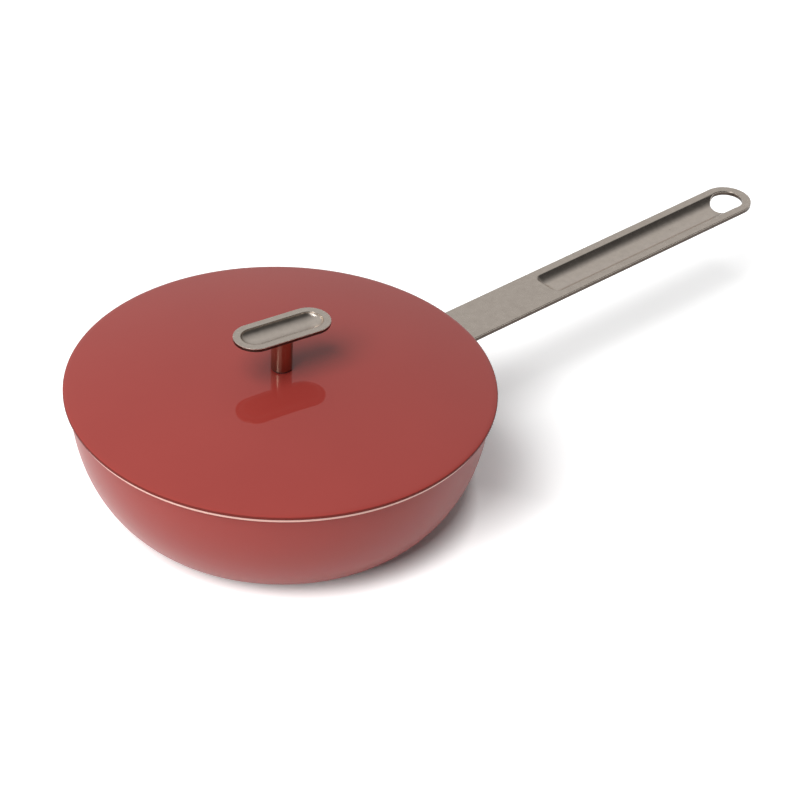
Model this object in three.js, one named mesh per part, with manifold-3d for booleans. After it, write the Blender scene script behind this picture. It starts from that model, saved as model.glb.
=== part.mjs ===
// A wok with a lid: a pressed pan, a cast handle riveted to its wall and a lid with a tray-shaped knob.
// Millimetres, +Z up. The origin is the centre of the base on the hob, and the handle lies along +X.
import * as THREE from 'three';
import { RoundedBoxGeometry } from 'three/addons/geometries/RoundedBoxGeometry.js';
import { mergeVertices } from 'three/addons/utils/BufferGeometryUtils.js';
import Module from 'manifold-3d';

const wasm = await Module();
wasm.setup();

// Fits between pieces
const GAP = 0.3;
const LID_PLAY = 1.2;

// Pan: a flat base, a wall of elliptical section and an outward lip
const PAN_HEIGHT = 80;
const BASE_RADIUS = 76;
const WALL_RADIUS = 126.2;
const WALL = 2.6;
const FLOOR = 4.5;
const LIP_REACH = 2.4;
const LIP_DROP = 3.4;
const LIP_EDGE = 2;
const MOUTH_ROUND = 1.6;

// Steel plate pressed into the underside for induction hobs
const PLATE = 0.8;
const PLATE_MARGIN = 11;

// Handle: a level blade with a trough that runs out into the hanging hole
const BLADE_WIDTH = 33.2;
const BLADE = 3.1;
const BLADE_CHAMFER = 0.4;
const BLADE_MARGIN = 5.8;
const BLADE_DROP = 16.5;
const HANDLE_REACH = 393.7;
const TROUGH_START = 222;
const TROUGH_DEPTH = 4.8;
const TROUGH_FLOOR = 2.2;

// Flange at the root of the handle, and the rivets that hold it
const FLANGE = 2.6;
const FLANGE_MARGIN = 3;
const FLANGE_CORNER = 7;
const RIVET_SPREAD = 13.5;
const RIVET_ABOVE = 4.9;
const RIVET_BELOW = 8.4;
const RIVET_RADIUS = 3;
const RIVET_HEAD_RADIUS = 5.5;
const RIVET_HEAD = 2.2;
const RIVET_TAIL_RADIUS = 4.4;
const RIVET_TAIL = 1.8;

// Lid: a shallow crown, a rounded shoulder and a skirt that drops into the mouth
const LID_RISE = 12.2;
const LID_SHOULDER = 4;
const LID_SHOULDER_RISE = 1.4;
const LID_EDGE = 1.5;
const LID_WALL = 2;
const LID_OVERHANG = 1.4;
const SKIRT_DROP = 4.6;
const SKIRT = 1.8;

// Knob: an oblong tray on a round stem, screwed on through the lid
const KNOB_TURN = THREE.MathUtils.degToRad(-9.6);
const TRAY_LENGTH = 63;
const TRAY_WIDTH = 26.3;
const TRAY_FLANGE = 4.5;
const TRAY_EDGE = 2.4;
const TRAY_DEPTH = 4.6;
const TRAY_FLOOR = 2.4;
const SOCKET = 1;
const STEM_RADIUS = 6.5;
const STEM_HEIGHT = 21.3;
const STEM_CHAMFER = 0.4;
const GASKET = 0.6;
const GASKET_INSET = 0.5;
const SCREW_RADIUS = 3;
const SCREW_BITE = 11;
const SCREW_HEAD_RADIUS = 5.5;
const SCREW_HEAD = 3.4;
const SCREW_HEAD_ROUND = 1.2;
const WASHER_RADIUS = 8;
const WASHER = 1.2;

// Smoothness of the round forms
const PAN_SEGMENTS = 56;
const SMALL_SEGMENTS = 24;
const WALL_STEPS = 10;
const CURVE_STEPS = 4;

// Places that follow from the sizes above
const LIP_RADIUS = WALL_RADIUS + LIP_REACH;
const MOUTH_RADIUS = WALL_RADIUS - WALL;
const BLADE_TOP = PAN_HEIGHT - BLADE_DROP;
const BLADE_BOTTOM = BLADE_TOP - BLADE;
const HOLE_RADIUS = BLADE_WIDTH / 2 - BLADE_MARGIN;
const LID_RADIUS = LIP_RADIUS + LID_OVERHANG;
const LID_SEAT = PAN_HEIGHT + GAP;
const LID_TOP = LID_SEAT + LID_EDGE + LID_RISE;
const SCREW_HOLE = SCREW_RADIUS + GAP;
const STEM_FOOT = LID_TOP + GAP + GASKET + GAP;
const STEM_TOP = STEM_FOOT + STEM_HEIGHT;
const TRAY_TOP = STEM_TOP + GAP - SOCKET + TRAY_FLOOR + TRAY_DEPTH;

const point = (x, y) => new THREE.Vector2(x, y);

// Evenly spaced values from one end to the other, both ends included
function steps(from, to, count) {
  return Array.from({ length: count + 1 }, (_, i) => from + ((to - from) * i) / count);
}

// Points of a curved corner between two places, after the first one
function corner(start, bend, end) {
  return new THREE.QuadraticBezierCurve(start, bend, end).getPoints(CURVE_STEPS).slice(1);
}

// Turns a profile of (radius, height) points about Z. The points run outwards along the bottom first.
function revolve(profile, segments) {
  return new THREE.LatheGeometry(profile, segments, Math.PI / segments).rotateX(Math.PI / 2);
}

// A cylinder along Z between two heights
function rod(radius, bottom, top) {
  const length = top - bottom;
  const cylinder = new THREE.CylinderGeometry(radius, radius, length, SMALL_SEGMENTS);
  return cylinder.rotateX(Math.PI / 2).translate(0, 0, bottom + length / 2);
}

// A ring along Z between two heights
function ring(inner, outer, bottom, top, segments) {
  const profile = [
    point(inner, bottom), point(outer, bottom), point(outer, top), point(inner, top), point(inner, bottom),
  ];
  return revolve(profile, segments);
}

// Closed geometry as a solid for joining and cutting
function solid(geometry) {
  const bare = geometry.clone();
  bare.deleteAttribute('normal');
  bare.deleteAttribute('uv');
  const merged = mergeVertices(bare, 1e-4);
  const triVerts = [];
  const corners = merged.index.array;
  for (let i = 0; i < corners.length; i += 3) {
    const [a, b, c] = corners.slice(i, i + 3);
    if (a !== b && b !== c && c !== a) triVerts.push(a, b, c);
  }
  return new wasm.Manifold(new wasm.Mesh({
    numProp: 3,
    vertProperties: new Float32Array(merged.attributes.position.array),
    triVerts: new Uint32Array(triVerts),
  }));
}

// The solid back as geometry
function geometryOf(body) {
  const mesh = body.getMesh();
  const geometry = new THREE.BufferGeometry();
  geometry.setAttribute('position', new THREE.BufferAttribute(new Float32Array(mesh.vertProperties), 3));
  geometry.setIndex(new THREE.BufferAttribute(new Uint32Array(mesh.triVerts), 1));
  geometry.computeVertexNormals();
  return geometry;
}

function piece(name, geometry, look) {
  const mesh = new THREE.Mesh(geometry, new THREE.MeshStandardMaterial(look));
  mesh.name = name;
  return mesh;
}

const RED_COATING = { color: 0x9a3830, roughness: 0.3, metalness: 0 };
const CAST_STEEL = { color: 0xa59b92, roughness: 0.4, metalness: 1 };
const BRIGHT_STEEL = { color: 0xb9b7b4, roughness: 0.3, metalness: 1 };
const PLATE_STEEL = { color: 0x9c9c9c, roughness: 0.35, metalness: 1 };
const SILICONE = { color: 0x2b2725, roughness: 0.8, metalness: 0 };

// Pan wall: the angle on the ellipse is -90 degrees at the base and 0 at the rim
function wallAngle(height) {
  return Math.asin((height - PAN_HEIGHT) / PAN_HEIGHT);
}

function wallNormal(angle) {
  const reach = WALL_RADIUS - BASE_RADIUS;
  return point(Math.cos(angle) / reach, Math.sin(angle) / PAN_HEIGHT).normalize();
}

// A place on the outside of the wall, moved outwards by a distance
function wallPoint(angle, out) {
  const reach = WALL_RADIUS - BASE_RADIUS;
  const place = point(BASE_RADIUS + reach * Math.cos(angle), PAN_HEIGHT * (1 + Math.sin(angle)));
  return place.addScaledVector(wallNormal(angle), out);
}

// The wall thickens from the mouth down to the floor
function wallThickness(angle) {
  return WALL + (FLOOR - WALL) * Math.sin(angle) ** 2;
}

// Rivets: two above the blade and one below it, square to the wall
function rivetPlace(side, height) {
  const angle = wallAngle(height);
  const foot = wallPoint(angle, 0);
  const normal = wallNormal(angle);
  const turn = Math.asin((side * RIVET_SPREAD) / foot.x);
  const toNormal = new THREE.Matrix4().makeRotationY(Math.PI / 2 - Math.atan2(normal.y, normal.x));
  const place = new THREE.Matrix4().makeRotationZ(turn);
  place.multiply(new THREE.Matrix4().makeTranslation(foot.x, 0, foot.y)).multiply(toNormal);
  return { place, inner: -wallThickness(angle) };
}

// A flat rivet head clears the curve and the facets of the wall under it
const RIVET_SEAT = GAP + RIVET_HEAD_RADIUS ** 2 / (2 * MOUTH_RADIUS)
  + MOUTH_RADIUS * (1 - Math.cos(Math.PI / PAN_SEGMENTS));
const RIVET_TOP = BLADE_TOP + RIVET_ABOVE;
const RIVET_LOW = BLADE_BOTTOM - RIVET_BELOW;
const RIVETS = {
  handle_rivet_left: rivetPlace(1, RIVET_TOP),
  handle_rivet_right: rivetPlace(-1, RIVET_TOP),
  handle_rivet_lower: rivetPlace(0, RIVET_LOW),
};

// Takes the rivet holes out of a solid
function drillForRivets(body) {
  const reach = FLANGE + RIVET_TAIL_RADIUS;
  return Object.values(RIVETS).reduce((drilled, { place, inner }) => {
    const hole = rod(RIVET_RADIUS + GAP, inner - reach, reach).applyMatrix4(place);
    return drilled.subtract(solid(hole));
  }, body);
}

function panBody() {
  const lipAngle = wallAngle(PAN_HEIGHT - LIP_DROP);
  const outside = steps(-Math.PI / 2, lipAngle, WALL_STEPS).map((angle) => wallPoint(angle, 0));
  const mouthAngle = wallAngle(PAN_HEIGHT - MOUTH_ROUND);
  const inside = steps(mouthAngle, -Math.PI / 2, WALL_STEPS)
    .map((angle) => wallPoint(angle, -wallThickness(angle)));
  const lipFoot = outside.at(-1);
  const lipUnder = point(LIP_RADIUS, PAN_HEIGHT - LIP_EDGE);
  const mouth = inside[0];
  const pocket = BASE_RADIUS - PLATE_MARGIN + GAP;
  const profile = [
    point(0, PLATE + GAP),
    point(pocket, PLATE + GAP),
    point(pocket, 0),
    ...outside,
    ...corner(lipFoot, point(lipFoot.x, PAN_HEIGHT - LIP_EDGE), lipUnder),
    point(LIP_RADIUS, PAN_HEIGHT),
    point(MOUTH_RADIUS + MOUTH_ROUND, PAN_HEIGHT),
    ...corner(point(MOUTH_RADIUS + MOUTH_ROUND, PAN_HEIGHT), point(mouth.x, PAN_HEIGHT), mouth),
    ...inside.slice(1),
    point(0, FLOOR),
  ];
  return geometryOf(drillForRivets(solid(revolve(profile, PAN_SEGMENTS))));
}

function basePlate() {
  const radius = BASE_RADIUS - PLATE_MARGIN;
  const profile = [point(0, 0), point(radius, 0), point(radius, PLATE), point(0, PLATE)];
  return revolve(profile, PAN_SEGMENTS);
}

// Blade of the handle, from inside the flange to the round end
function blade() {
  const half = BLADE_WIDTH / 2;
  const root = wallPoint(wallAngle(BLADE_TOP), GAP + FLANGE / 2).x;
  const outline = new THREE.Shape();
  outline.moveTo(root, -half);
  outline.lineTo(HANDLE_REACH, -half);
  outline.absarc(HANDLE_REACH, 0, half, -Math.PI / 2, Math.PI / 2);
  outline.lineTo(root, half);
  const plate = new THREE.ExtrudeGeometry(outline, {
    depth: BLADE - 2 * BLADE_CHAMFER,
    curveSegments: SMALL_SEGMENTS / 2,
    bevelThickness: BLADE_CHAMFER,
    bevelSize: BLADE_CHAMFER,
    bevelOffset: -BLADE_CHAMFER,
    bevelSegments: 1,
  });
  return plate.translate(0, 0, BLADE_BOTTOM + BLADE_CHAMFER);
}

// The trough as a round-edged block sunk to half its height, grown by a wall for its underside
function troughBlock(grow) {
  const end = HANDLE_REACH + TROUGH_DEPTH / 2;
  const length = end - TROUGH_START + 2 * grow;
  const depth = TROUGH_DEPTH + grow;
  const block = new RoundedBoxGeometry(length, 2 * (HOLE_RADIUS + grow), 2 * depth, CURVE_STEPS, depth);
  return block.translate((TROUGH_START + end) / 2, 0, BLADE_TOP);
}

// Curved pad that lies on the pan wall round the rivets
function handleFlange() {
  const reach = RIVET_TAIL_RADIUS + FLANGE_MARGIN;
  const half = RIVET_SPREAD + reach;
  const top = RIVET_TOP + reach;
  const low = RIVET_LOW - reach;
  const angles = steps(wallAngle(low - FLANGE), wallAngle(top + FLANGE / 2), WALL_STEPS);
  const inner = angles.map((angle) => wallPoint(angle, GAP));
  const outer = angles.map((angle) => wallPoint(angle, GAP + FLANGE));
  const band = revolve([...outer, ...inner.reverse(), outer[0]], PAN_SEGMENTS);
  const round = Math.min(FLANGE_CORNER, reach);
  const outline = new THREE.Shape();
  outline.absarc(half - round, top - round, round, 0, Math.PI / 2);
  outline.absarc(round - half, top - round, round, Math.PI / 2, Math.PI);
  outline.absarc(0, low + reach, reach, Math.PI * 1.25, Math.PI * 1.75);
  const pad = new THREE.ExtrudeGeometry(outline, {
    depth: LIP_RADIUS,
    curveSegments: SMALL_SEGMENTS / 4,
    bevelEnabled: false,
  });
  const toWall = new THREE.Matrix4().makeBasis(
    new THREE.Vector3(0, 1, 0), new THREE.Vector3(0, 0, 1), new THREE.Vector3(1, 0, 0),
  );
  return solid(band).intersect(solid(pad.applyMatrix4(toWall).translate(BASE_RADIUS / 2, 0, 0)));
}

function handle() {
  const span = 2 * HANDLE_REACH;
  const below = new THREE.BoxGeometry(span, BLADE_WIDTH, span);
  below.translate(span / 2, 0, BLADE_TOP - span / 2);
  const bulge = solid(troughBlock(TROUGH_FLOOR)).intersect(solid(below));
  const hole = rod(HOLE_RADIUS, BLADE_TOP - BLADE_WIDTH, BLADE_TOP + BLADE_WIDTH);
  const body = solid(blade())
    .add(bulge)
    .subtract(solid(troughBlock(0)))
    .subtract(solid(hole.translate(HANDLE_REACH, 0, 0)))
    .add(handleFlange());
  return geometryOf(drillForRivets(body));
}

// Rivet along its own +Z, from the head inside the pan to the tail on the flange
function rivet(inner) {
  const head = inner - RIVET_SEAT;
  const tail = GAP + FLANGE + GAP;
  const headTop = head - RIVET_HEAD;
  const tailTop = tail + RIVET_TAIL;
  const profile = [
    point(0, headTop),
    ...corner(point(0, headTop), point(RIVET_HEAD_RADIUS, headTop), point(RIVET_HEAD_RADIUS, head)),
    point(RIVET_RADIUS, head),
    point(RIVET_RADIUS, tail),
    point(RIVET_TAIL_RADIUS, tail),
    ...corner(point(RIVET_TAIL_RADIUS, tail), point(RIVET_TAIL_RADIUS, tailTop), point(0, tailTop)),
  ];
  return revolve(profile, SMALL_SEGMENTS);
}

// Top of the lid: a crown out to the shoulder, and a rounded shoulder down to the edge
function lidTop(lower) {
  const shoulder = LID_RADIUS - LID_SHOULDER;
  const crown = LID_RISE - LID_SHOULDER_RISE;
  const edge = LID_SEAT + LID_EDGE;
  const rise = steps(SCREW_HOLE, shoulder, WALL_STEPS - CURVE_STEPS)
    .map((r) => point(r, edge + LID_SHOULDER_RISE + crown * (1 - (r / shoulder) ** 2) - lower));
  const slope = (2 * crown) / shoulder;
  const bend = point(LID_RADIUS - lower, edge + LID_SHOULDER_RISE - slope * LID_SHOULDER - lower);
  return [...rise, ...corner(rise.at(-1), bend, point(LID_RADIUS - lower, edge - lower))];
}

function lidShell() {
  const skirtOut = MOUTH_RADIUS - LID_PLAY;
  const skirtIn = skirtOut - SKIRT;
  const top = lidTop(0).reverse();
  const under = lidTop(LID_WALL).filter((p) => p.x < skirtIn - SKIRT);
  const start = under[0];
  const profile = [
    ...under,
    point(skirtIn, LID_SEAT),
    point(skirtIn, LID_SEAT - SKIRT_DROP),
    point(skirtOut, LID_SEAT - SKIRT_DROP),
    point(skirtOut, LID_SEAT),
    point(LID_RADIUS, LID_SEAT),
    ...top,
    start,
  ];
  return revolve(profile, PAN_SEGMENTS);
}

// Knob tray: a revolved dish pulled apart along X into an oblong one, with a socket for the stem
function knobTray() {
  const round = TRAY_WIDTH / 2;
  const wide = round - TRAY_FLANGE;
  const centre = wide - TRAY_DEPTH;
  const outerArc = TRAY_DEPTH + TRAY_FLOOR;
  const bottomOf = (angle, radius) => point(centre + radius * Math.sin(angle), TRAY_TOP - radius * Math.cos(angle));
  const flangeAngle = Math.acos(TRAY_EDGE / outerArc);
  const profile = [
    point(0, TRAY_TOP - outerArc),
    ...steps(0, flangeAngle, CURVE_STEPS).map((angle) => bottomOf(angle, outerArc)),
    point(round, TRAY_TOP - TRAY_EDGE),
    point(round, TRAY_TOP),
    ...steps(Math.PI / 2, 0, CURVE_STEPS).map((angle) => bottomOf(angle, TRAY_DEPTH)),
    point(0, TRAY_TOP - TRAY_DEPTH),
  ];
  const dish = revolve(profile, 2 * SMALL_SEGMENTS);
  const places = dish.attributes.position;
  const pull = (TRAY_LENGTH - TRAY_WIDTH) / 2;
  for (let i = 0; i < places.count; i += 1) {
    const x = places.getX(i);
    if (Math.abs(x) > 1e-6) places.setX(i, x + Math.sign(x) * pull);
  }
  const socket = rod(STEM_RADIUS + GAP, STEM_FOOT, STEM_TOP + GAP);
  return geometryOf(solid(dish).subtract(solid(socket)));
}

function knobStem() {
  const boreTop = LID_TOP + SCREW_BITE + GAP;
  const profile = [
    point(0, boreTop),
    point(SCREW_HOLE, boreTop),
    point(SCREW_HOLE, STEM_FOOT),
    point(STEM_RADIUS - STEM_CHAMFER, STEM_FOOT),
    point(STEM_RADIUS, STEM_FOOT + STEM_CHAMFER),
    point(STEM_RADIUS, STEM_TOP),
    point(0, STEM_TOP),
  ];
  return revolve(profile, SMALL_SEGMENTS);
}

function knobScrew(washerBottom) {
  const headTop = washerBottom - GAP;
  const headLow = headTop - SCREW_HEAD;
  const profile = [
    point(0, headLow),
    point(SCREW_HEAD_RADIUS - SCREW_HEAD_ROUND, headLow),
    point(SCREW_HEAD_RADIUS, headLow + SCREW_HEAD_ROUND),
    point(SCREW_HEAD_RADIUS, headTop),
    point(SCREW_RADIUS, headTop),
    point(SCREW_RADIUS, LID_TOP + SCREW_BITE),
    point(0, LID_TOP + SCREW_BITE),
  ];
  return revolve(profile, SMALL_SEGMENTS);
}

// The pan with its handle
const pan = new THREE.Group();
pan.add(piece('pan_body', panBody(), RED_COATING));
pan.add(piece('base_plate', basePlate(), PLATE_STEEL));
pan.add(piece('handle', handle(), CAST_STEEL));
for (const [name, { place, inner }] of Object.entries(RIVETS)) {
  const fastener = piece(name, rivet(inner), BRIGHT_STEEL);
  fastener.applyMatrix4(place);
  pan.add(fastener);
}

// The knob, turned a little from the line of the handle
const washerTop = LID_TOP - LID_WALL - GAP;
const gasketFoot = LID_TOP + GAP;
const knob = new THREE.Group();
knob.rotation.z = KNOB_TURN;
knob.add(piece('knob_tray', knobTray(), CAST_STEEL));
knob.add(piece('knob_stem', knobStem(), CAST_STEEL));
knob.add(piece(
  'knob_gasket',
  ring(SCREW_HOLE, STEM_RADIUS - GASKET_INSET, gasketFoot, gasketFoot + GASKET, SMALL_SEGMENTS),
  SILICONE,
));
knob.add(piece(
  'knob_washer',
  ring(SCREW_HOLE, WASHER_RADIUS, washerTop - WASHER, washerTop, SMALL_SEGMENTS),
  BRIGHT_STEEL,
));
knob.add(piece('knob_screw', knobScrew(washerTop - WASHER), BRIGHT_STEEL));

// The lid with its knob
const lid = new THREE.Group();
lid.add(piece('lid_shell', lidShell(), RED_COATING));
lid.add(knob);

const wok = new THREE.Group();
wok.add(pan);
wok.add(lid);

export default wok;
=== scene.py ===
# %% [markdown]
# # A wok with a lid, dressed in Blender
# The frame holds the wok as faceted solids at their real size. This lesson makes a fine mesh for each
# piece in the same place, gives it a finish made of shader nodes, and lights it as for a catalogue picture.
# The frame comes first, because the main sizes below are measured on it.

# %% Load the frame
import math
import bmesh
import bpy
from mathutils import Matrix, Vector


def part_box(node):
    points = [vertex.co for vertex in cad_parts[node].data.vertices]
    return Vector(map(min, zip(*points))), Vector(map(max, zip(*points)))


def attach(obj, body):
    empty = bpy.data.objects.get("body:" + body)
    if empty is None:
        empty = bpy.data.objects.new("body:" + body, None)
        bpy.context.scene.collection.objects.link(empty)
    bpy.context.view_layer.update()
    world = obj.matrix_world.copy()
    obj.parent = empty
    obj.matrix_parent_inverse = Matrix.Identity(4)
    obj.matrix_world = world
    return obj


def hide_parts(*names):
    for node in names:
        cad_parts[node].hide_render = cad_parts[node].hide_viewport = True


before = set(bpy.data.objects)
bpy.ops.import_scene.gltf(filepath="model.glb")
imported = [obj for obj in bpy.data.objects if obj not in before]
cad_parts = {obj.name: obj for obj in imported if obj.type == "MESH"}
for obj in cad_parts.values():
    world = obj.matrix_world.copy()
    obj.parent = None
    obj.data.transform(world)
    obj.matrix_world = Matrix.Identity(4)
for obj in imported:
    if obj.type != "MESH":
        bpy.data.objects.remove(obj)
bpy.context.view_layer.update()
MM = 0.001

# %% [markdown]
# ## Camera
# A long lens stands well back, as in product pictures, so the handle hardly narrows. The camera could be
# set by hand, but a few measured angles and one aim point say more. The picture is turned a little
# clockwise, so the camera also rolls about its line of sight.

# %% Camera
CAMERA_AZIMUTH = math.radians(-43.36)
CAMERA_ELEVATION = math.radians(35.5)
CAMERA_ROLL = math.radians(2.92)
CAMERA_DISTANCE = 1.6735
CAMERA_LENS = 126
CAMERA_RANGE = 50
CAMERA_AIM = Vector((0.0498, -0.0513, 0.0773))


def away_from_camera(azimuth, elevation):
    """Unit vector that looks into the scene from an azimuth and an elevation."""
    level = math.cos(elevation)
    return Vector((-math.sin(azimuth) * level, math.cos(azimuth) * level, -math.sin(elevation)))


look = away_from_camera(CAMERA_AZIMUTH, CAMERA_ELEVATION)
camera = bpy.data.objects.new("camera", bpy.data.cameras.new("camera"))
camera.data.lens = CAMERA_LENS
camera.data.clip_end = CAMERA_RANGE
level_view = look.to_track_quat("-Z", "Y").to_matrix().to_4x4()
camera.matrix_world = (
    Matrix.Translation(CAMERA_AIM - look * CAMERA_DISTANCE)
    @ level_view
    @ Matrix.Rotation(CAMERA_ROLL, 4, "Z")
)
bpy.context.scene.collection.objects.link(camera)
bpy.context.scene.camera = camera
bpy.context.scene.view_settings.view_transform = "Standard"
print("camera at", tuple(round(c, 3) for c in camera.location))

# %% [markdown]
# ## Shader helpers
# Each finish is a Principled shader with a few texture nodes in front of it. Such trees get long when
# every node and link is written out, so small helpers do it: they add a node with its sockets set by name,
# join or fade values, and tint or bump a surface by a texture's value.

# %% Shader helpers
def shader_node(tree, kind, settings=None, **fields):
    """A new node with its fields and the values of its named sockets set."""
    node = tree.nodes.new(kind)
    for field, value in fields.items():
        setattr(node, field, value)
    for socket, value in (settings or {}).items():
        node.inputs[socket].default_value = value
    return node


def principled(name, settings):
    """A material with its node tree and its Principled shader."""
    material = bpy.data.materials.new(name)
    material.use_nodes = True
    shader = material.node_tree.nodes["Principled BSDF"]
    for socket, value in settings.items():
        shader.inputs[socket].default_value = value
    return material, material.node_tree, shader


def fixed_noise(tree, settings):
    """The value of a noise texture that is fixed to the piece."""
    place = shader_node(tree, "ShaderNodeTexCoord")
    texture = shader_node(tree, "ShaderNodeTexNoise", settings)
    tree.links.new(place.outputs["Object"], texture.inputs["Vector"])
    return texture.outputs["Fac"]


def measured(tree, operation, place, reference):
    """The distance between a place and a reference, or their dot product."""
    node = shader_node(tree, "ShaderNodeVectorMath", {1: reference}, operation=operation)
    tree.links.new(place, node.inputs[0])
    return node.outputs["Value"]


def fade(tree, value, start, end, low, high):
    """A number that goes from low to high while a value goes from start to end."""
    node = shader_node(tree, "ShaderNodeMapRange", {
        "From Min": start,
        "From Max": end,
        "To Min": low,
        "To Max": high,
    })
    tree.links.new(value, node.inputs["Value"])
    return node.outputs["Result"]


def joined(tree, operation, first, second):
    """Two values joined by a Math node."""
    node = shader_node(tree, "ShaderNodeMath", operation=operation)
    tree.links.new(first, node.inputs[0])
    tree.links.new(second, node.inputs[1])
    return node.outputs[0]


def tint(tree, shader, value, first, second):
    """Colours a shader between two colours by a texture's value."""
    ramp = shader_node(tree, "ShaderNodeValToRGB")
    ramp.color_ramp.elements[0].color = first
    ramp.color_ramp.elements[1].color = second
    tree.links.new(value, ramp.inputs["Fac"])
    tree.links.new(ramp.outputs["Color"], shader.inputs["Base Color"])


def bump(tree, shader, height, strength, depth):
    """Gives a shader a fine relief by a texture's value."""
    node = shader_node(tree, "ShaderNodeBump", {"Strength": strength, "Distance": depth})
    tree.links.new(height, node.inputs["Height"])
    tree.links.new(node.outputs["Normal"], shader.inputs["Normal"])


def linear(red, green, blue):
    """A colour of 0 to 255 steps as the linear values that shaders use."""
    def channel(step):
        share = step / 255
        return share / 12.92 if share <= 0.04045 else ((share + 0.055) / 1.055) ** 2.4
    return (channel(red), channel(green), channel(blue), 1)


# %% [markdown]
# ## Floor, sky and lamps
# The picture has a white ground with a soft shadow, which is dark and narrow round the base and wider at
# the right. A pale diffuse sheet catches the shadow but is never pure white by itself, so it gets some
# light of its own, which the camera sees in full and reflections see in part. That light is weakest close
# to the base and at its right, where its dip is a painted shadow, and it grows over a few centimetres. In
# front of the wok it is stronger, a painted light that thins the shadow there. Lamps could do this too,
# but they would change the light on the wok. All distances are in metres.
#
# The sky is a plain gradient, bright behind the wok at the left and dark on the opposite side, which gives
# the lid its even sheen. One large soft lamp stands at the left in front. Steel would mirror it as a
# burned-out patch, so reflections don't see it, and a small weak lamp below it gives the glints on the
# knob. A low weak lamp lifts the front of the wall.

# %% Floor
FLOOR_HALF = 6.0
FLOOR_COLOUR = (0.93, 0.93, 0.93, 1)
WHITE = (1, 1, 1, 1)
floor_corners = [(x * FLOOR_HALF, y * FLOOR_HALF, 0) for x, y in ((-1, -1), (1, -1), (1, 1), (-1, 1))]
floor_mesh = bpy.data.meshes.new("floor")
floor_mesh.from_pydata(floor_corners, [], [(0, 1, 2, 3)])
floor = bpy.data.objects.new("floor", floor_mesh)
bpy.context.scene.collection.objects.link(floor)
paper, paper_tree, paper_shader = principled("white_paper", {
    "Base Color": FLOOR_COLOUR,
    "Roughness": 0.9,
    "Specular IOR Level": 0.0,
    "Emission Color": WHITE,
})
floor_mesh.materials.append(paper)
print("floor", 2 * FLOOR_HALF, "m wide")

# %% Floor glow
GLOW_CONTACT = 0.01
GLOW_SHADE = 0.19
GLOW_OPEN = 0.36
GLOW_FRONT = 0.6
CONTACT_CENTRE = (0.0237, 0.012, 0.0)
CONTACT_STARTS = 0.106
CONTACT_ENDS = 0.127
SHADE_CENTRE = (0.1, -0.04, 0.0)
SHADE_STARTS = 0.035
SHADE_ENDS = 0.13
FRONT_STARTS = 0.02
FRONT_FULL = -0.045
MIRROR_SHARE = 0.45
backwards = Vector((look.x, look.y, 0)).normalized()
spot = shader_node(paper_tree, "ShaderNodeTexCoord").outputs["Object"]
from_contact = measured(paper_tree, "DISTANCE", spot, CONTACT_CENTRE)
from_shade = measured(paper_tree, "DISTANCE", spot, SHADE_CENTRE)
depth = measured(paper_tree, "DOT_PRODUCT", spot, backwards)
# The dips of this glow round the base and at the right are painted shadow, and its rise in front is painted
# light.
contact_glow = fade(paper_tree, from_contact, CONTACT_STARTS, CONTACT_ENDS, GLOW_CONTACT, GLOW_FRONT)
shade_glow = fade(paper_tree, from_shade, SHADE_STARTS, SHADE_ENDS, GLOW_SHADE, GLOW_OPEN)
front_glow = fade(paper_tree, depth, FRONT_STARTS, FRONT_FULL, GLOW_SHADE, GLOW_FRONT)
open_glow = joined(paper_tree, "MAXIMUM", shade_glow, front_glow)
glow = joined(paper_tree, "MINIMUM", open_glow, contact_glow)
ray = shader_node(paper_tree, "ShaderNodeLightPath").outputs
mirrored = fade(paper_tree, ray["Is Glossy Ray"], 0, 1, 0, MIRROR_SHARE)
seen = joined(paper_tree, "MAXIMUM", ray["Is Camera Ray"], mirrored)
seen_glow = joined(paper_tree, "MULTIPLY", glow, seen)
paper_tree.links.new(seen_glow, paper_shader.inputs["Emission Strength"])
print("floor glow from", GLOW_CONTACT, "at the base to", GLOW_FRONT, "in front")

# %% Sky
SKY_DARK = 0.05
SKY_BRIGHT = 0.54
SKY_TOWARDS = (0.0, 1.0, 0.3)
SKY_STARTS = -0.3
SKY_ENDS = 0.6
sky = bpy.data.worlds.new("studio")
sky.use_nodes = True
bpy.context.scene.world = sky
sky_tree = sky.node_tree
sky_light = sky_tree.nodes["Background"]
sky_light.inputs["Color"].default_value = WHITE
direction = shader_node(sky_tree, "ShaderNodeTexCoord").outputs["Generated"]
towards = measured(sky_tree, "DOT_PRODUCT", direction, SKY_TOWARDS)
brightness = fade(sky_tree, towards, SKY_STARTS, SKY_ENDS, SKY_DARK, SKY_BRIGHT)
sky_tree.links.new(brightness, sky_light.inputs["Strength"])
print("sky from", SKY_DARK, "to", SKY_BRIGHT)

# %% Lamps
def soft_lamp(name, azimuth, elevation, distance, size, power):
    """A square lamp that faces the wok from an azimuth seen by the camera, left of it below zero."""
    aim = Vector((0, 0, CAMERA_AIM.z))
    into_scene = away_from_camera(CAMERA_AZIMUTH + math.radians(azimuth), math.radians(elevation))
    lamp = bpy.data.objects.new(name, bpy.data.lights.new(name, "AREA"))
    lamp.data.shape = "SQUARE"
    lamp.data.size = size
    lamp.data.energy = power
    facing = into_scene.to_track_quat("-Z", "Y").to_matrix().to_4x4()
    lamp.matrix_world = Matrix.Translation(aim - into_scene * distance) @ facing
    bpy.context.scene.collection.objects.link(lamp)
    return lamp


key_lamp = soft_lamp("key_lamp", azimuth=-42, elevation=57, distance=3.0, size=2.2, power=99)
key_lamp.visible_glossy = False
soft_lamp("gleam_lamp", azimuth=-38, elevation=38, distance=3.0, size=0.75, power=13)
soft_lamp("front_lamp", azimuth=-16, elevation=20, distance=3.0, size=1.6, power=11)
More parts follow.
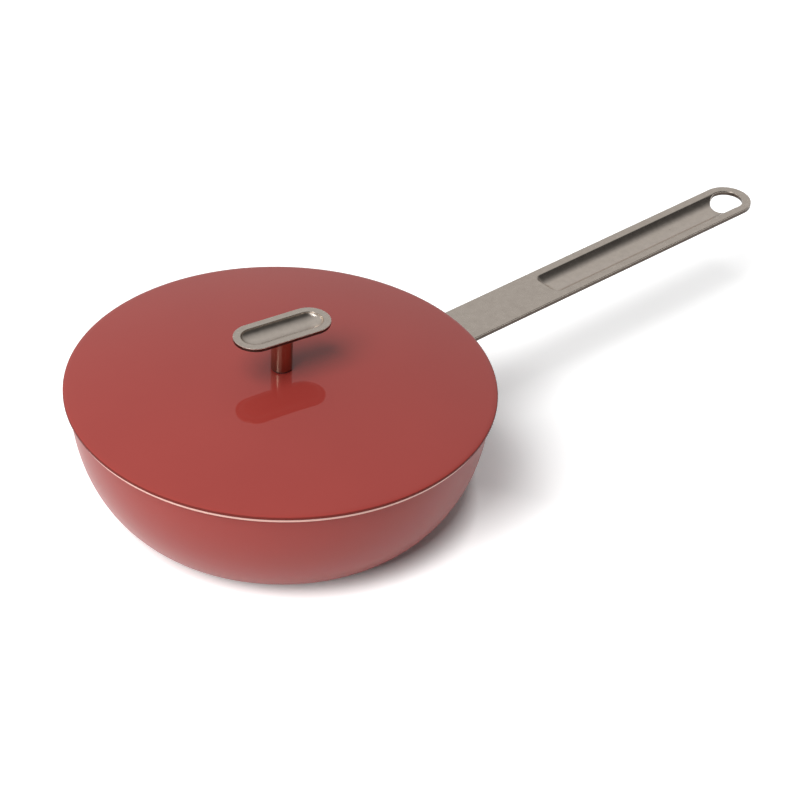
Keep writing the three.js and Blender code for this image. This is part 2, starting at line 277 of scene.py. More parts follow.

# %% [markdown]
# ## Red coating
# The pan and the lid share one terracotta coating: a coloured layer under a clear glossy one. A coat on the
# Principled shader gives that sharp reflection over a softer colour. Noise varies the colour a little, and
# a very faint bump gives the slight waviness of a sprayed layer. The lid is smoother than the pan's wall.
# Round the lid's edge the coating is darker and hardly shines, a painted shade for the dark band along the
# edge.

# %% Red coating
RED = (linear(142, 50, 44), linear(149, 55, 48))
# The second pair is a darker red that paints shade onto the lid's edge band.
SHADED_EDGE_RED = (linear(104, 39, 34), linear(112, 43, 38))
WAVE_DEPTH = 0.1 * MM


def red_coating(name, dark, light, gloss, coat_roughness, wave):
    material, tree, shader = principled(name, {
        "Roughness": 0.42,
        "Specular IOR Level": 0.05,
        "Coat Weight": gloss,
        "Coat Roughness": coat_roughness,
        "Coat IOR": 1.5,
    })
    tint(tree, shader, fixed_noise(tree, {"Scale": 14.0, "Detail": 3.0}), dark, light)
    bump(tree, shader, fixed_noise(tree, {"Scale": 420.0, "Detail": 1.0}), wave, WAVE_DEPTH)
    return material


lid_red = red_coating("lid_red_gloss", *RED, gloss=1.0, coat_roughness=0.015, wave=0.01)
pan_red = red_coating("pan_red_gloss", *RED, gloss=0.57, coat_roughness=0.3, wave=0.05)
shaded_edge_red = red_coating("lid_edge_painted_shade_red", *SHADED_EDGE_RED, gloss=0.08, coat_roughness=0.1, wave=0.05)
print("coatings:", lid_red.name, pan_red.name, shaded_edge_red.name)

# %% [markdown]
# ## Cream coating
# The inside of the pan, its rim and the underside of the lid have a pale ceramic coating with small specks
# and a soft shine. The specks are only the peaks of a noise texture. The rim has a pinker cream than the
# inside.

# %% Cream coating
INSIDE_CREAM = (linear(226, 203, 182), linear(204, 181, 159))
RIM_CREAM = (linear(234, 184, 171), linear(216, 169, 155))
SPECKS_START = 0.62
SPECKS_FULL = 0.72


def cream_coating(name, plain, speck):
    material, tree, shader = principled(name, {"Roughness": 0.35, "Coat Weight": 0.4})
    cloud = fixed_noise(tree, {"Scale": 900.0, "Detail": 2.0})
    tint(tree, shader, fade(tree, cloud, SPECKS_START, SPECKS_FULL, 0, 1), plain, speck)
    return material


cream = cream_coating("cream_ceramic", *INSIDE_CREAM)
rim_cream = cream_coating("rim_ceramic", *RIM_CREAM)
print("inside finish:", cream.name, "and on the rim:", rim_cream.name)

# %% [markdown]
# ## Steels and silicone
# The handle and the knob are cast steel: fully metallic, with a fine blasted grain in the bump and cloudy
# differences in colour and roughness. One function makes all these finishes: a satin one on the tops, a
# lighter copy in the dished places that is painted light, a darker copy on edges and undersides that is
# painted shade, and a smooth warm one on the stem.
# The rivets, screw and washer are plain bright steel. The plate under the base is turned on a lathe, so
# rings run round its middle.

# %% Cast steel
WEAR = 0.06
GRAIN = 0.12
GRAIN_DEPTH = 0.05 * MM


def cast_steel(name, dark, light, roughness):
    material, tree, shader = principled(name, {"Metallic": 1.0})
    cloud = fixed_noise(tree, {"Scale": 260.0, "Detail": 6.0, "Roughness": 0.62})
    tint(tree, shader, cloud, dark, light)
    wear = fade(tree, cloud, 0, 1, roughness - WEAR, roughness + WEAR)
    tree.links.new(wear, shader.inputs["Roughness"])
    bump(tree, shader, fixed_noise(tree, {"Scale": 2600.0, "Detail": 2.0}), GRAIN, GRAIN_DEPTH)
    return material


satin_steel = cast_steel("satin_ground_steel", linear(196, 184, 172), linear(232, 220, 208), roughness=0.26)
skin_steel = cast_steel("cast_skin_steel", linear(164, 138, 120), linear(176, 150, 132), roughness=0.2)
# The darker finish is painted shade: it stands in for the dim light and dark reflections on edges and
# undersides.
shaded_edge_steel = cast_steel("painted_shade_edge_steel", linear(72, 63, 57), linear(100, 89, 81), roughness=0.3)
# The dish finish is a lighter copy of the satin steel, painted light that lifts the trough and the knob's
# recess.
lit_dish_steel = cast_steel("painted_light_dish_steel", linear(206, 194, 182), linear(242, 230, 218), roughness=0.3)
bright_steel = cast_steel("bright_steel", linear(196, 194, 191), linear(210, 208, 206), roughness=0.28)
print("steels:", satin_steel.name, skin_steel.name, shaded_edge_steel.name, lit_dish_steel.name, bright_steel.name)

# %% Turned plate and silicone
RING_RELIEF = 0.25
RING_DEPTH = 0.05 * MM


def turned_steel():
    material, tree, shader = principled("turned_plate_steel", {"Metallic": 1.0, "Roughness": 0.34})
    place = shader_node(tree, "ShaderNodeTexCoord")
    rings = shader_node(
        tree, "ShaderNodeTexWave", {"Scale": 180.0, "Distortion": 0.4},
        wave_type="RINGS", rings_direction="Z",
    )
    tree.links.new(place.outputs["Object"], rings.inputs["Vector"])
    tint(tree, shader, rings.outputs["Fac"], linear(168, 167, 166), linear(188, 187, 186))
    bump(tree, shader, rings.outputs["Fac"], RING_RELIEF, RING_DEPTH)
    return material


def silicone_rubber():
    material, tree, shader = principled("dark_silicone", {"Roughness": 0.7})
    tint(tree, shader, fixed_noise(tree, {"Scale": 700.0}), linear(38, 34, 33), linear(54, 49, 47))
    return material


plate_steel = turned_steel()
silicone = silicone_rubber()
print("under the wok:", plate_steel.name, silicone.name)

# %% [markdown]
# ## Mesh helpers
# Most of the wok is round, so most pieces are an outline turned about an axis. Blender's Screw modifier
# could do that, but building the rings directly lets each stretch of the outline have its own finish.
# Sharp corners never look right in metal, so another helper turns each corner of an outline into a small
# arc. A Weighted Normal modifier then keeps the wide faces flat beside those arcs.

# %% Mesh helpers
ROUND_STEPS = 5
FINE_RINGS = 192
SMALL_RINGS = 64
MERGE = 1e-6
ARC_LIMIT = 0.48


def curve(start, middle, end, steps=ROUND_STEPS):
    """Points of a curve from start to end that heads for middle at both ends."""
    shares = [i / steps for i in range(steps + 1)]
    return [start * (1 - t) ** 2 + middle * (2 * t * (1 - t)) + end * t ** 2 for t in shares]


def rounded(corners):
    """Outline points from (radius, height, arc) corners. An arc of 0 keeps the corner as it is."""
    points = []
    for i, (x, y, arc) in enumerate(corners):
        here = Vector((x, y))
        if arc == 0 or i in (0, len(corners) - 1):
            points.append(here)
            continue
        before = Vector(corners[i - 1][:2]) - here
        after = Vector(corners[i + 1][:2]) - here
        room = ARC_LIMIT * min(before.length, after.length)
        reach = min(arc / math.tan(before.angle(after) / 2), room)
        points += curve(here + before.normalized() * reach, here, here + after.normalized() * reach)
    return [(p.x, p.y) for p in points]


def mesh_piece(name, vertices, faces, materials, finishes=None):
    """A closed smooth mesh with outward faces. finishes gives each face the index of its material."""
    mesh = bpy.data.meshes.new(name)
    mesh.from_pydata(vertices, [], faces)
    for material in materials:
        mesh.materials.append(material)
    if finishes:
        mesh.polygons.foreach_set("material_index", finishes)
    form = bmesh.new()
    form.from_mesh(mesh)
    bmesh.ops.remove_doubles(form, verts=form.verts, dist=MERGE)
    bmesh.ops.recalc_face_normals(form, faces=form.faces)
    form.to_mesh(mesh)
    form.free()
    mesh.shade_smooth()
    piece = bpy.data.objects.new(name, mesh)
    bpy.context.scene.collection.objects.link(piece)
    piece.modifiers.new("flat_stays_flat", "WEIGHTED_NORMAL")
    return piece


def turned(name, outline, materials, rings=SMALL_RINGS, closed=False, changes=()):
    """A piece turned about Z. Each of changes is a point of the outline where the next finish starts."""
    vertices = []
    faces = []
    finishes = []
    for radius, height in outline:
        for j in range(rings):
            angle = 2 * math.pi * (j + 0.5) / rings
            vertices.append((radius * math.cos(angle), radius * math.sin(angle), height))
    for i in range(len(outline) - (0 if closed else 1)):
        low = i * rings
        high = (i + 1) % len(outline) * rings
        for j in range(rings):
            k = (j + 1) % rings
            faces.append((low + j, low + k, high + k, high + j))
            finishes.append(sum(i >= change for change in changes))
    return mesh_piece(name, vertices, faces, materials, finishes)


def dress(piece, body, slot, *nodes):
    """Puts a piece on its body in the place of its frame nodes."""
    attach(piece, body)
    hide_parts(*nodes)
    print(piece.name, "rides on", body, "with", len(piece.data.polygons), "faces")


def spread(start, end, count):
    """Values from start to end that lie closer together near both ends."""
    return [start + (end - start) * (1 - math.cos(math.pi * i / count)) / 2 for i in range(count + 1)]


# %% [markdown]
# ## Pan
# The pan is pressed from a disc, so its wall has one flowing section: a quarter of an ellipse from the
# flat base up to the mouth, with an outward lip. The wall thickens towards the floor. The outside is red,
# the lip's edge has its own pinker cream, and the inside is cream. With the lid on, only the lip's edge
# shows, as a thin pale line.

# %% Pan sizes
PAN_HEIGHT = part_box("pan_body")[1].z
LIP_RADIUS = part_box("pan_body")[1].x
BASE_RADIUS = 76 * MM
WALL_RADIUS = 126.2 * MM
WALL = 2.6 * MM
FLOOR_THICKNESS = 4.5 * MM
LIP_EDGE = 2.0 * MM
LIP_DROP = 3.4 * MM
FOOT_ROUND = 0.3 * MM
RIM_ROUND = 0.7 * MM
MOUTH_ROUND = 1.6 * MM
WALL_STEPS = 40
PLATE_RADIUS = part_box("base_plate")[1].x
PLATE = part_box("base_plate")[1].z
PLATE_GAP = 0.15 * MM


def wall_angle(height):
    """Angle on the wall's ellipse, from -90 degrees at the base to 0 at the rim."""
    return math.asin((height - PAN_HEIGHT) / PAN_HEIGHT)


def wall_normal(angle):
    """Direction straight out of the wall at an angle on its ellipse."""
    out = Vector((math.cos(angle) / (WALL_RADIUS - BASE_RADIUS), math.sin(angle) / PAN_HEIGHT))
    return out.normalized()


def wall_point(angle, out):
    """A place on the outside of the wall, moved outwards by a distance."""
    radius = BASE_RADIUS + (WALL_RADIUS - BASE_RADIUS) * math.cos(angle)
    return Vector((radius, PAN_HEIGHT * (1 + math.sin(angle)))) + wall_normal(angle) * out


def wall_thickness(angle):
    """Thickness of the wall, which grows towards the floor."""
    return WALL + (FLOOR_THICKNESS - WALL) * math.sin(angle) ** 2


def bend(start, middle, end, steps=ROUND_STEPS):
    """Corners of an outline along a curve from start to end."""
    return [(p.x, p.y, 0) for p in curve(start, middle, end, steps)]


# %% Pan body
def pan_outline():
    """Outline of the pan from its underside, and where its rim and its inside start."""
    lip_angle = wall_angle(PAN_HEIGHT - LIP_DROP)
    mouth_angle = wall_angle(PAN_HEIGHT - MOUTH_ROUND)
    pocket = PLATE_RADIUS + PLATE_GAP
    outside = [(0, PLATE, 0), (pocket, PLATE, 0), (pocket, 0, FOOT_ROUND)]
    for i in range(WALL_STEPS):
        angle = -math.pi / 2 + (lip_angle + math.pi / 2) * i / WALL_STEPS
        outside.append((*wall_point(angle, 0), 0))
    foot = wall_point(lip_angle, 0)
    under = PAN_HEIGHT - LIP_EDGE
    outside += bend(foot, Vector((foot.x, under)), Vector((LIP_RADIUS - RIM_ROUND, under)))
    mouth = wall_point(mouth_angle, -wall_thickness(mouth_angle))
    seat = Vector((mouth.x + MOUTH_ROUND, PAN_HEIGHT))
    inside = [
        (LIP_RADIUS - RIM_ROUND, under, 0),
        (LIP_RADIUS, under, RIM_ROUND),
        (LIP_RADIUS, PAN_HEIGHT, RIM_ROUND),
    ]
    inside += bend(seat, Vector((mouth.x, PAN_HEIGHT)), mouth)
    for i in range(1, WALL_STEPS + 1):
        angle = mouth_angle + (-math.pi / 2 - mouth_angle) * i / WALL_STEPS
        inside.append((*wall_point(angle, -wall_thickness(angle)), 0))
    inside.append((0, FLOOR_THICKNESS, 0))
    red = rounded(outside)
    first_rim = len(red) - 1
    return red + rounded(inside)[1:], [first_rim, first_rim + 2 * (ROUND_STEPS + 1)]


outline, changes = pan_outline()
pan_piece = turned("wok_pan", outline, [pan_red, rim_cream, cream], FINE_RINGS, changes=changes)
dress(pan_piece, "pan", "red_coated_aluminium", "pan_body")

# %% [markdown]
# ## Base plate
# A steel disc is pressed into the underside so that the aluminium pan works on an induction hob. It is
# turned flat, with a few shallow grooves that let the heat spread it without warping.

# %% Base plate
GROOVE_PITCH = 7.5 * MM
GROOVE_WIDTH = 0.9 * MM
GROOVE_DEPTH = 0.25 * MM
PLATE_ROUND = 0.2 * MM


def plate_outline():
    corners = [(0, 0, 0)]
    centre = 2 * GROOVE_PITCH
    while centre < PLATE_RADIUS - GROOVE_PITCH / 2:
        half = GROOVE_WIDTH / 2
        corners += [(centre - half, 0, 0), (centre, GROOVE_DEPTH, 0), (centre + half, 0, 0)]
        centre += GROOVE_PITCH
    corners += [(PLATE_RADIUS, 0, PLATE_ROUND), (PLATE_RADIUS, PLATE, 0), (0, PLATE, 0)]
    return rounded(corners)


plate_piece = turned("wok_base_plate", plate_outline(), [plate_steel], FINE_RINGS)
dress(plate_piece, "pan", "plate_steel", "base_plate")

# %% [markdown]
# ## Handle
# The handle is a cast blade with a trough that runs out into the hanging hole, and the trough's shell
# swells on the underside. Boolean cuts would leave untidy edges round the hole, so the blade is built as
# strips across its length instead: each strip runs from the middle, or from the edge of the hole, out to
# the blade's edge, and two formulas give the height of its top and of its underside. Each face then gets
# one of three finishes: the top's, the trough's, which is lighter as painted light, or the darker one of
# the edges and the underside, which is painted shade.

# %% Handle sizes
BLADE_BELOW_RIM = 16.5 * MM
BLADE_TOP = PAN_HEIGHT - BLADE_BELOW_RIM
BLADE = 3.1 * MM
BLADE_HALF = 16.6 * MM
HOLE_RADIUS = 10.8 * MM
HANDLE_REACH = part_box("handle")[1].x - BLADE_HALF
TROUGH_START = 222 * MM
TROUGH_CORNER = 5.5 * MM
TROUGH_DEPTH = 4.8 * MM
TROUGH_RUN = 8.0 * MM
TROUGH_EVEN = TROUGH_START + 1.5 * TROUGH_RUN
TROUGH_FLOOR = 2.2 * MM
SCOOP_POWER = 2.5
RIM_SOFTNESS = 0.35 * MM
EDGE_ROUND = 0.5 * MM
FLANGE = 2.6 * MM
FLANGE_GAP = 0.1 * MM
ROOT_FILLET = 4.0 * MM


def inside_trough(x, y):
    """How far a place lies inside the trough's outline. It is below zero outside."""
    if x > HANDLE_REACH:
        return HOLE_RADIUS - math.hypot(x - HANDLE_REACH, y)
    past_end = TROUGH_START + TROUGH_CORNER - x
    past_side = abs(y) - (HOLE_RADIUS - TROUGH_CORNER)
    round_part = math.hypot(max(past_end, 0), max(past_side, 0))
    return TROUGH_CORNER - round_part - min(max(past_end, past_side), 0)


def scoop(inset, depth, run):
    """Depth of a scooped section at a distance inside its outline, with a softened rim."""
    soft = 0.5 * (inset + math.hypot(inset, RIM_SOFTNESS))
    return depth * (1 - (1 - min(soft / run, 1)) ** SCOOP_POWER)


def fillet(radius, distance):
    """How far a rounded corner stands off at a distance from where it would be sharp."""
    short = min(max(radius - distance, 0), radius)
    return radius - math.sqrt(radius ** 2 - short ** 2)


def root_swell(x, y):
    """How much thicker the blade grows on each face where it meets the flange."""
    surface = wall_point(wall_angle(BLADE_TOP), FLANGE_GAP + FLANGE).x
    return fillet(ROOT_FILLET, x - math.sqrt(surface ** 2 - y ** 2))


def blade_heights(x, y):
    """Height of the blade's top and of its underside at a place in plan."""
    from_end = math.hypot(x - HANDLE_REACH, y)
    to_outline = BLADE_HALF - (from_end if x > HANDLE_REACH else abs(y))
    drop = max(fillet(EDGE_ROUND, to_outline), fillet(EDGE_ROUND, from_end - HOLE_RADIUS))
    inset = inside_trough(x, y)
    swell = root_swell(x, y)
    shell = scoop(inset + TROUGH_FLOOR, TROUGH_DEPTH + TROUGH_FLOOR, TROUGH_RUN + TROUGH_FLOOR)
    thickness = max(BLADE, 0.5 * (BLADE + shell + math.hypot(shell - BLADE, RIM_SOFTNESS)))
    top = BLADE_TOP - scoop(inset, TROUGH_DEPTH, TROUGH_RUN) - drop + swell
    return top, BLADE_TOP - thickness + drop - swell


# %% Handle blade
LANES_INSIDE = 26
LANES_OUTSIDE = 14


def blade_stations():
    """Places along the blade, closest where its form changes. A mark has a start, an end and a count."""
    root = wall_point(wall_angle(BLADE_TOP), FLANGE_GAP + FLANGE / 2).x
    marks = [
        (root, TROUGH_START - RIM_SOFTNESS, 24),
        (TROUGH_START - RIM_SOFTNESS, TROUGH_EVEN, 32),
        (TROUGH_EVEN, HANDLE_REACH - HOLE_RADIUS, 24),
        (HANDLE_REACH - HOLE_RADIUS, HANDLE_REACH + HOLE_RADIUS, 48),
        (HANDLE_REACH + HOLE_RADIUS, HANDLE_REACH + BLADE_HALF, 20),
    ]
    places = [root]
    for start, end, count in marks:
        places += spread(start, end, count)[1:]
    return places


def blade_piece():
    rim = HOLE_RADIUS / BLADE_HALF
    lanes = spread(0, rim, LANES_INSIDE) + spread(rim, 1, LANES_OUTSIDE)[1:]
    stations = blade_stations()
    vertices = []
    for side in (1, -1):
        for x in stations:
            past = max(x - HANDLE_REACH, 0)
            outer = math.sqrt(max(BLADE_HALF ** 2 - past ** 2, 0))
            inner = math.sqrt(max(HOLE_RADIUS ** 2 - (x - HANDLE_REACH) ** 2, 0))
            for lane in lanes:
                y = inner + lane * (outer - inner)
                top, low = blade_heights(x, y)
                vertices += [(x, side * y, top), (x, side * y, low)]
    row = 2 * len(lanes)
    sheet = row * len(stations)
    top = []
    dish = []
    shaded_faces = []
    for start in (0, sheet):
        for i, x in enumerate(stations[:-1]):
            here = start + i * row
            there = here + row
            for k in range(0, row - 2, 2):
                corner = vertices[there + k + 2]
                finish = dish if inside_trough(corner[0], corner[1]) > RIM_SOFTNESS else top
                finish.append((here + k, there + k, there + k + 2, here + k + 2))
                shaded_faces.append((here + k + 1, here + k + 3, there + k + 3, there + k + 1))
            shaded_faces.append((here + row - 2, there + row - 2, there + row - 1, here + row - 1))
            middle = (x + stations[i + 1]) / 2
            if abs(middle - HANDLE_REACH) < HOLE_RADIUS:
                shaded_faces.append((here, here + 1, there + 1, there))
        for k in range(0, row - 2, 2):
            shaded_faces.append((start + k, start + k + 2, start + k + 3, start + k + 1))
    # The trough's faces take the lighter finish, which is painted light, and the edges, hole wall and
    # underside take the darker one, which is painted shade.
    finishes = [0] * len(top) + [1] * len(dish) + [2] * len(shaded_faces)
    steels = [satin_steel, lit_dish_steel, shaded_edge_steel]
    return mesh_piece("wok_handle", vertices, top + dish + shaded_faces, steels, finishes)


handle_piece = blade_piece()
dress(handle_piece, "pan", "cast_steel", "handle")

# %% [markdown]
# ## Handle flange
# Where the handle meets the pan it spreads into a curved pad that lies on the wall, with a lobe for each
# rivet. The pad is drawn as an outline of arcs in the upright plane. Rings between its middle and that
# outline are then laid on the wall's own curve, first for the face and then for the back.

# %% Handle flange
RIVETS = {name: sum(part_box(name), Vector()) / 2 for name in sorted(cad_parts) if "rivet" in name}
TAIL_RADIUS = 4.4 * MM
LOBE_MARGIN = 3.0 * MM
LOBE = TAIL_RADIUS + LOBE_MARGIN
PAD_CORNER = 7.0 * MM
PAD_ROUND = 0.9 * MM
PAD_RINGS = (0.02, 0.3, 0.6, 0.8)
ARC_STEPS = 12


def arc(centre_y, centre_z, radius, first, last):
    """Points of an arc in the upright plane, with its angles in degrees."""
    angles = [math.radians(first + (last - first) * i / ARC_STEPS) for i in range(ARC_STEPS + 1)]
    return [(centre_y + radius * math.cos(a), centre_z + radius * math.sin(a)) for a in angles]


def pad_outline():
    """Outline of the pad and the height of its middle."""
    half = max(p.y for p in RIVETS.values()) + LOBE
    top = max(p.z for p in RIVETS.values()) + LOBE
    low = min(p.z for p in RIVETS.values())
    outline = arc(half - PAD_CORNER, top - PAD_CORNER, PAD_CORNER, 0, 90)
    outline += arc(PAD_CORNER - half, top - PAD_CORNER, PAD_CORNER, 90, 180)
    outline += arc(0, low, LOBE, 225, 315)
    return outline, (top + low) / 2


def on_wall(y, z, out):
    """A place on the wall's curve at a side distance and height, moved outwards."""
    place = wall_point(wall_angle(z), out)
    return (math.sqrt(place.x ** 2 - y ** 2), y, place.y)


def flange_piece():
    outline, middle = pad_outline()
    face = FLANGE_GAP + FLANGE
    size = min(math.hypot(y, z - middle) for y, z in outline)
    layers = [(share, face) for share in PAD_RINGS]
    for i in range(ROUND_STEPS + 1):
        turn = math.pi / 2 * i / ROUND_STEPS
        share = 1 - PAD_ROUND * (1 - math.sin(turn)) / size
        layers.append((share, face - PAD_ROUND * (1 - math.cos(turn))))
    layers += [(1, FLANGE_GAP)] + [(share, FLANGE_GAP) for share in PAD_RINGS[::-1]]
    count = len(outline)
    vertices = []
    for share, out in layers:
        vertices += [on_wall(y * share, middle + (z - middle) * share, out) for y, z in outline]
    faces = [tuple(range(count)), tuple(range(len(vertices) - count, len(vertices)))]
    for i in range(len(layers) - 1):
        for j in range(count):
            k = (j + 1) % count
            faces.append((i * count + j, i * count + k, (i + 1) * count + k, (i + 1) * count + j))
    return mesh_piece("wok_handle_flange", vertices, faces, [shaded_edge_steel])


flange = flange_piece()
dress(flange, "pan", "cast_steel", "handle")

# %% [markdown]
# ## Rivets
# Each rivet has a low domed head inside the pan and a smaller set tail on the flange. It stands square to
# the wall, so its axis follows the wall's normal at its own height.

# %% Rivets
RIVET_RADIUS = 3.0 * MM
HEAD_RADIUS = 5.5 * MM
HEAD = 2.2 * MM
TAIL = 1.8 * MM
DOME_STEPS = 10


def dome(radius, foot, height):
    """Outline of a low dome from its edge to its top."""
    turns = [math.pi / 2 * i / DOME_STEPS for i in range(DOME_STEPS + 1)]
    return [(radius * math.cos(t), foot + height * math.sin(t)) for t in turns]


for node, centre in RIVETS.items():
    angle = wall_angle(centre.z)
    foot = wall_point(angle, 0)
    inner = -wall_thickness(angle)
    face = FLANGE_GAP + FLANGE
    shape = dome(HEAD_RADIUS, inner, -HEAD)[::-1] + [(RIVET_RADIUS, inner), (RIVET_RADIUS, face)]
    fastener = turned("wok_" + node, shape + dome(TAIL_RADIUS, face, TAIL), [bright_steel])
    turn = math.atan2(centre.y, centre.x)
    normal = wall_normal(angle)
    axis = Vector((normal.x * math.cos(turn), normal.x * math.sin(turn), normal.y))
    seat = Vector((foot.x * math.cos(turn), foot.x * math.sin(turn), foot.y))
    fastener.data.transform(Matrix.Translation(seat) @ axis.to_track_quat("Z", "Y").to_matrix().to_4x4())
    dress(fastener, "pan", "bright_steel", node)

# %% [markdown]
# ## Lid
# The lid is a shallow crown with a rounded shoulder that falls to a thin edge lying on the pan's lip. A
# skirt under it drops into the mouth and keeps it central. The crown is so glossy that any flaw in the
# mesh would bend the knob's reflection, so its section is a formula and its rings are close together.

# %% Lid
LID_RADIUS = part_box("lid_shell")[1].x
LID_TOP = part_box("lid_shell")[1].z
SEAT_GAP = 0.3 * MM
LID_SEAT = PAN_HEIGHT + SEAT_GAP
LID_EDGE = 1.5 * MM
LID_EDGE_ROUND = 0.2 * MM
LID_UNDERCUT = 0.3 * MM
LID_SHOULDER = 4 * MM
LID_SHOULDER_RISE = 1.4 * MM
LID_WALL = 2.0 * MM
SKIRT_GAP = 1.2 * MM
SKIRT_RADIUS = WALL_RADIUS - WALL - SKIRT_GAP
SKIRT = 1.8 * MM
SKIRT_ROUND = 0.5 * MM
SKIRT_FILLET = 1.2 * MM
SKIRT_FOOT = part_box("lid_shell")[0].z
SCREW_HOLE = 3.3 * MM
CROWN_STEPS = 40
SHOULDER_STEPS = 16
# From this step of the shoulder on, the lid takes the darker red that paints shade on its edge.
SHADED_EDGE_STEP = 12


def crown_corners(lower):
    """The lid's section from the screw hole to its edge, lowered by a thickness for the underside."""
    edge = LID_SEAT + LID_EDGE
    shoulder = LID_RADIUS - LID_SHOULDER
    crown = LID_TOP - edge - LID_SHOULDER_RISE
    corners = []
    for i in range(CROWN_STEPS):
        radius = SCREW_HOLE + (shoulder - SCREW_HOLE) * i / CROWN_STEPS
        height = edge + LID_SHOULDER_RISE + crown * (1 - (radius / shoulder) ** 2)
        corners.append((radius, height - lower, 0))
    start = Vector((shoulder, edge + LID_SHOULDER_RISE - lower))
    middle = Vector((LID_RADIUS - lower, start.y - 2 * crown / shoulder * LID_SHOULDER))
    end = Vector((LID_RADIUS - lower, edge - lower))
    return corners + bend(start, middle, end, SHOULDER_STEPS)


def lid_outline():
    """Outline of the lid from the screw hole over the top, and where its edge and its cream side start."""
    inner = SKIRT_RADIUS - SKIRT
    top = crown_corners(0) + [
        (LID_RADIUS, LID_SEAT + LID_UNDERCUT, LID_EDGE_ROUND),
        (LID_RADIUS - LID_UNDERCUT, LID_SEAT, LID_EDGE_ROUND),
        (SKIRT_RADIUS, LID_SEAT, 0),
    ]
    below = [
        (SKIRT_RADIUS, LID_SEAT, 0),
        (SKIRT_RADIUS, SKIRT_FOOT, SKIRT_ROUND),
        (inner, SKIRT_FOOT, SKIRT_ROUND),
        (inner, LID_SEAT, SKIRT_FILLET),
    ]
    below += [corner for corner in crown_corners(LID_WALL) if corner[0] < inner - SKIRT][::-1]
    red = rounded(top)
    return red + rounded(below)[1:], [CROWN_STEPS + SHADED_EDGE_STEP, len(red) - 1]


outline, changes = lid_outline()
lid_piece = turned("wok_lid", outline, [lid_red, shaded_edge_red, cream], FINE_RINGS, closed=True, changes=changes)
dress(lid_piece, "lid", "red_coated_aluminium", "lid_shell")

# %% [markdown]
# ## Knob
# The knob is an oblong tray on a plain round stem. The tray is first turned as a round dish and then pulled
# apart along its length, which gives it straight sides and round ends in one step. Its edge and underside
# are darker, as painted shade, its top is satin and its recess is lighter, as painted light. It stands a
# few degrees out of line with the handle.

# %% Knob tray
KNOB_TURN = math.radians(-9.6)
TRAY_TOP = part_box("knob_tray")[1].z
TRAY_LENGTH = 63 * MM
TRAY_HALF_WIDTH = 13.15 * MM
TRAY_FLANGE = 4.5 * MM
TRAY_EDGE = 2.4 * MM
TRAY_EDGE_ROUND = 0.5 * MM
TRAY_RIM_ROUND = 0.3 * MM
TRAY_DEPTH = 4.6 * MM
TRAY_FLOOR = 2.4 * MM
TRAY_STEPS = 24


def tray_outline():
    """Outline of the dish from its underside into the recess, and where its top and its recess start."""
    recess = TRAY_HALF_WIDTH - TRAY_FLANGE
    outer = TRAY_DEPTH + TRAY_FLOOR
    centre = recess - TRAY_DEPTH
    meets_flange = math.acos(TRAY_EDGE / outer)
    corners = [(0, TRAY_TOP - outer, 0)]
    for i in range(TRAY_STEPS + 1):
        turn = meets_flange * i / TRAY_STEPS
        corners.append((centre + outer * math.sin(turn), TRAY_TOP - outer * math.cos(turn), 0))
    corners += [
        (TRAY_HALF_WIDTH, TRAY_TOP - TRAY_EDGE, TRAY_EDGE_ROUND),
        (TRAY_HALF_WIDTH, TRAY_TOP - TRAY_EDGE_ROUND, 0),
    ]
    below = rounded(corners)
    corners = [
        (TRAY_HALF_WIDTH, TRAY_TOP - TRAY_EDGE_ROUND, 0),
        (TRAY_HALF_WIDTH, TRAY_TOP, TRAY_EDGE_ROUND),
        (recess, TRAY_TOP, TRAY_RIM_ROUND),
    ]
    # The first step is left out to make room for the rim's arc.
    for i in range(2, TRAY_STEPS + 1):
        turn = math.pi / 2 * i / TRAY_STEPS
        corners.append((recess * math.cos(turn), TRAY_TOP - TRAY_DEPTH * math.sin(turn), 0))
    first_top = len(below) - 1
    return below + rounded(corners)[1:], [first_top, first_top + 2 * (ROUND_STEPS + 1)]


outline, changes = tray_outline()
tray_steels = [shaded_edge_steel, satin_steel, lit_dish_steel]
tray = turned("wok_knob_tray", outline, tray_steels, FINE_RINGS, changes=changes)
pull = TRAY_LENGTH / 2 - TRAY_HALF_WIDTH
for vertex in tray.data.vertices:
    if abs(vertex.co.x) > MERGE:
        vertex.co.x += math.copysign(pull, vertex.co.x)
tray.data.transform(Matrix.Rotation(KNOB_TURN, 4, "Z"))
dress(tray, "lid", "cast_steel", "knob_tray")

# %% Knob stem
STEM_RADIUS = 6.5 * MM
STEM_FOOT_ROUND = 0.3 * MM
STEM_TOP_ROUND = 0.2 * MM
stem_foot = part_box("knob_gasket")[1].z
stem_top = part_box("knob_stem")[1].z
stem = turned("wok_knob_stem", rounded([
    (0, stem_foot, 0),
    (STEM_RADIUS, stem_foot, STEM_FOOT_ROUND),
    (STEM_RADIUS, stem_top, STEM_TOP_ROUND),
    (0, stem_top, 0),
]), [skin_steel], SMALL_RINGS)
dress(stem, "lid", "cast_steel", "knob_stem")

# %% [markdown]
# ## Fastening under the lid
# A screw from below holds the stem. A silicone ring seals its hole on top, and a washer spreads the load
# underneath. The solid of the silicone ring keeps a small gap to the lid, which the fine one closes. The
# screw's head has a six-sided socket: the socket is turned like the rest, and its points are then moved
# onto the sides of a hexagon.

# %% Gasket and washer
GASKET_ROUND = 0.3 * MM
WASHER_ROUND = 0.2 * MM


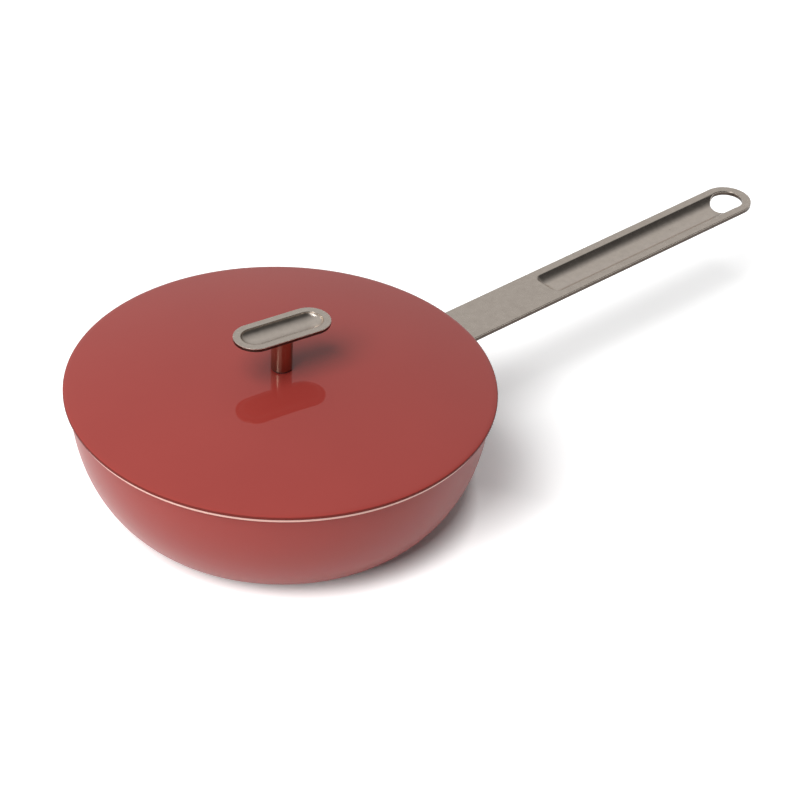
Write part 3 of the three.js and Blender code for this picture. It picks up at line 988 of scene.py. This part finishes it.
def ring_piece(name, node, material, arc_radius):
    """A flat ring round the screw, sized by its frame node and let down onto the lid if it lies above."""
    low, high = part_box(node)
    outer = (high.x - low.x) / 2
    foot = max(low.z - SEAT_GAP, LID_TOP) if low.z > LID_TOP else low.z
    corners = [
        (SCREW_HOLE, foot, arc_radius),
        (outer, foot, arc_radius),
        (outer, high.z, arc_radius),
        (SCREW_HOLE, high.z, arc_radius),
    ]
    looped = [corners[-1], *corners, corners[0]]
    outline = rounded(looped)[1:-1]
    return turned(name, outline, [material], closed=True)


gasket = ring_piece("wok_knob_gasket", "knob_gasket", silicone, GASKET_ROUND)
dress(gasket, "lid", "silicone", "knob_gasket")
washer = ring_piece("wok_knob_washer", "knob_washer", bright_steel, WASHER_ROUND)
dress(washer, "lid", "bright_steel", "knob_washer")

# %% Screw
SCREW_RADIUS = 3.0 * MM
SCREW_HEAD = 3.4 * MM
HEAD_ROUND = 1.2 * MM
NECK_ROUND = 0.2 * MM
TIP_ROUND = 0.5 * MM
SOCKET_RADIUS = 2.9 * MM
SOCKET_DEPTH = 2.0 * MM
head_foot, screw_tip = (corner.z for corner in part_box("knob_screw"))
head_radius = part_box("knob_screw")[1].x
screw = turned("wok_knob_screw", rounded([
    (0, head_foot + SOCKET_DEPTH, 0),
    (SOCKET_RADIUS, head_foot + SOCKET_DEPTH, 0),
    (SOCKET_RADIUS, head_foot, 0),
    (head_radius, head_foot, HEAD_ROUND),
    (head_radius, head_foot + SCREW_HEAD, NECK_ROUND),
    (SCREW_RADIUS, head_foot + SCREW_HEAD, 0),
    (SCREW_RADIUS, screw_tip, TIP_ROUND),
    (0, screw_tip, 0),
]), [bright_steel])
for vertex in screw.data.vertices:
    if abs(math.hypot(vertex.co.x, vertex.co.y) - SOCKET_RADIUS) < MERGE:
        around = math.atan2(vertex.co.y, vertex.co.x) % (math.pi / 3) - math.pi / 6
        vertex.co.xy *= math.cos(math.pi / 6) / math.cos(around)
dress(screw, "lid", "bright_steel", "knob_screw")
